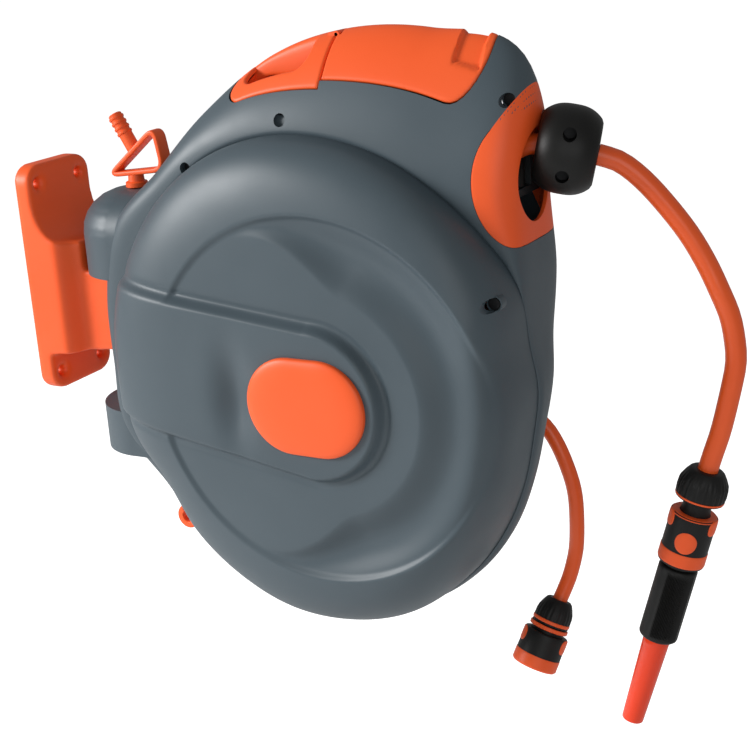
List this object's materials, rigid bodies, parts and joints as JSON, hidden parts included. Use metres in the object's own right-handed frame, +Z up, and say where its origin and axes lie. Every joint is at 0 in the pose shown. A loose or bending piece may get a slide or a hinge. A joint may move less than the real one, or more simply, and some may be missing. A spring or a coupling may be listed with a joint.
{
  "type": "wall mounted hose reel",
  "caption": "Spring rewind garden hose reel in a rounded case that swivels on a wall bracket, with carry handle, storage lid, guided hose outlet, nozzle and inlet leader hose.",
  "frame": {"origin": "centre of the wall plate's back face, midway between the four wall screws", "axes": "+X out of the wall towards the hose outlet, +Y to the inlet side, +Z up"},
  "size_m": [0.5207, 0.188, 0.4795],
  "materials": {
    "case_plastic": "satin blue grey moulded plastic with a fine grain",
    "orange_plastic": "satin orange moulded plastic",
    "gloss_orange": "glossy orange moulded plastic",
    "black_plastic": "black moulded plastic",
    "dark_plastic": "dark grey moulded plastic",
    "hose_rubber": "smooth orange hose",
    "black_rubber": "black sealing rubber",
    "steel": "plain steel"
  },
  "bodies": {
    "bracket": {"wall_bracket": "orange_plastic", "pivot_bushes": "black_plastic"},
    "case": {"near_shell": "case_plastic", "far_shell": "case_plastic", "swivel_yoke": "case_plastic", "case_screws": "steel", "side_badge": "orange_plastic", "carry_handle": "orange_plastic", "grip_well": "orange_plastic", "storage_tray": "dark_plastic", "lid_hinge_pin": "steel", "outlet_trim": "orange_plastic", "roller_frame": "dark_plastic", "roller_pins": "steel", "axle": "steel", "pawl_pin": "steel", "hose_lead": "hose_rubber", "near_stop_half": "black_plastic", "far_stop_half": "black_plastic", "stop_screws": "steel", "main_hose": "hose_rubber", "hose_nut": "black_plastic", "hose_connector": "black_plastic", "nozzle_body": "black_plastic", "nozzle_tip": "gloss_orange", "inlet_plate": "dark_plastic", "inlet_elbow": "black_plastic", "inlet_nut": "black_plastic", "leader_hose": "hose_rubber", "leader_nut": "black_plastic", "leader_connector": "black_plastic", "hook_loop": "orange_plastic"},
    "lid": {"lid": "orange_plastic"},
    "pin": {"swivel_pin": "orange_plastic"},
    "drum": {"drum_core": "dark_plastic", "near_flange": "dark_plastic", "far_flange": "dark_plastic", "drum_bushes": "black_plastic", "rotary_hub": "black_plastic", "axle_seals": "black_rubber", "spring_cover": "dark_plastic", "power_spring": "steel", "ratchet_ring": "dark_plastic", "drum_pipe": "black_plastic", "hose_pack": "hose_rubber", "hose_winding": "hose_rubber"},
    "pawl": {"pawl": "black_plastic"},
    "near_roller": {"near_roller": "black_plastic"},
    "far_roller": {"far_roller": "black_plastic"},
    "hose_collar": {"hose_collar": "black_plastic"},
    "nozzle_barrel": {"nozzle_barrel": "black_plastic"},
    "leader_collar": {"leader_collar": "black_plastic"}
  },
  "joints": [
    {"name": "case_swivel", "type": "hinge", "parent": "bracket", "child": "case", "pos_m": [0.086, 0, -0.042], "axis": [0, 0, 1], "range_deg": [-30, 30]},
    {"name": "pin_lift", "type": "slide", "parent": "case", "child": "pin", "axis": [0, 0, 1], "range_m": [0, 0.2]},
    {"name": "lid_open", "type": "hinge", "parent": "case", "child": "lid", "pos_m": [0.26602, 0, 0.1749], "axis": [0, -1, 0], "range_deg": [0, 100]},
    {"name": "drum_spin", "type": "hinge", "parent": "case", "child": "drum", "pos_m": [0.27, 0, -0.053], "axis": [0, 1, 0], "continuous": true, "deforming": ["power_spring", "hose_lead"]},
    {"name": "pawl_swing", "type": "hinge", "parent": "case", "child": "pawl", "pos_m": [0.1967, -0.0585, -0.07968], "axis": [0, 1, 0], "range_deg": [0, 12], "stiffness_Nm_per_rad": 0.02},
    {"name": "near_roller_spin", "type": "hinge", "parent": "case", "child": "near_roller", "pos_m": [0.378, -0.0144, 0.098], "axis": [0, 0, 1], "continuous": true},
    {"name": "far_roller_spin", "type": "hinge", "parent": "case", "child": "far_roller", "pos_m": [0.378, 0.0144, 0.098], "axis": [0, 0, 1], "continuous": true},
    {"name": "hose_collar_release", "type": "slide", "parent": "case", "child": "hose_collar", "axis": [0.246, 0.089, 0.9652], "range_m": [0, 0.0025], "stiffness_N_per_m": 600},
    {"name": "nozzle_twist", "type": "hinge", "parent": "case", "child": "nozzle_barrel", "pos_m": [0.498, 0.037, -0.111], "axis": [-0.246, -0.089, -0.9652], "range_deg": [0, 270]},
    {"name": "leader_collar_release", "type": "slide", "parent": "case", "child": "leader_collar", "axis": [0.2505, 0.4209, 0.8718], "range_m": [0, 0.0025], "stiffness_N_per_m": 600}
  ]
}
